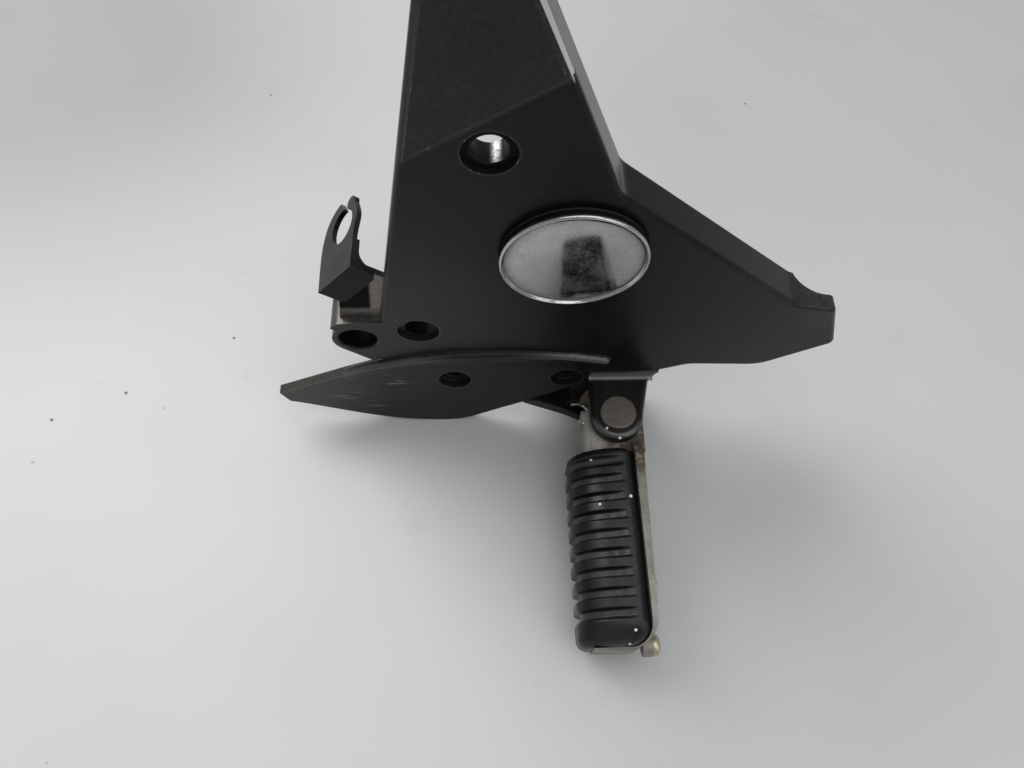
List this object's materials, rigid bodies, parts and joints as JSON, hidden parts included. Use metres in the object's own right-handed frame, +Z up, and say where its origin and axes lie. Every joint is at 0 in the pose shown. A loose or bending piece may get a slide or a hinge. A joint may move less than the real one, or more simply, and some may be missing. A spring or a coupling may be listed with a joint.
{
  "type": "motorcycle footrest hanger",
  "caption": "Die-cast motorcycle footrest hanger with a folding rubber footpeg, a heel guard, a chromed pivot cap and a hose clip.",
  "frame": {"origin": "on the upper frame bolt's axis, halfway along its bore; the plate's outer face lies at y = -6 mm", "axes": "+Z up the plate, +X towards the wing, +Y inwards to the motorcycle's frame; the footpeg points along -Y"},
  "size_m": [0.2561, 0.1608, 0.2518],
  "materials": {
    "black_paint": "satin black paint over die-cast alloy, scuffed",
    "chrome": "bright chrome, lightly pitted",
    "gasket_rubber": "matt foam rubber",
    "clip_plastic": "smooth black plastic",
    "bare_alloy": "bare cast alloy with brown grime",
    "peg_rubber": "moulded rubber, dusty",
    "plate_steel": "plain zinc-plated steel",
    "screw_steel": "zinc-plated steel",
    "feeler_zinc": "yellowed zinc plating, rubbed",
    "pin_steel": "dull steel, browned",
    "spring_steel": "bare spring steel"
  },
  "bodies": {
    "hanger": {"hanger_casting": "black_paint", "pivot_cap": "chrome", "cap_gasket": "gasket_rubber", "hose_clip": "clip_plastic", "pivot_pin": "pin_steel", "pin_washer": "plate_steel", "split_pin": "screw_steel", "return_spring": "spring_steel"},
    "footpeg": {"footpeg_bracket": "bare_alloy", "footpeg_rubber": "peg_rubber", "rubber_backing_plate": "plate_steel", "rubber_screw_1": "screw_steel", "rubber_screw_2": "screw_steel", "rubber_washer_1": "screw_steel", "rubber_washer_2": "screw_steel", "feeler_bolt": "feeler_zinc"}
  },
  "joints": [
    {"name": "footpeg_fold", "type": "hinge", "parent": "hanger", "child": "footpeg", "pos_m": [0.0553, -0.0268, -0.169], "axis": [0, 0, -1], "range_deg": [0, 60], "stiffness_Nm_per_rad": 0.3, "springref_deg": -68.75, "deforming": ["return_spring"]}
  ]
}
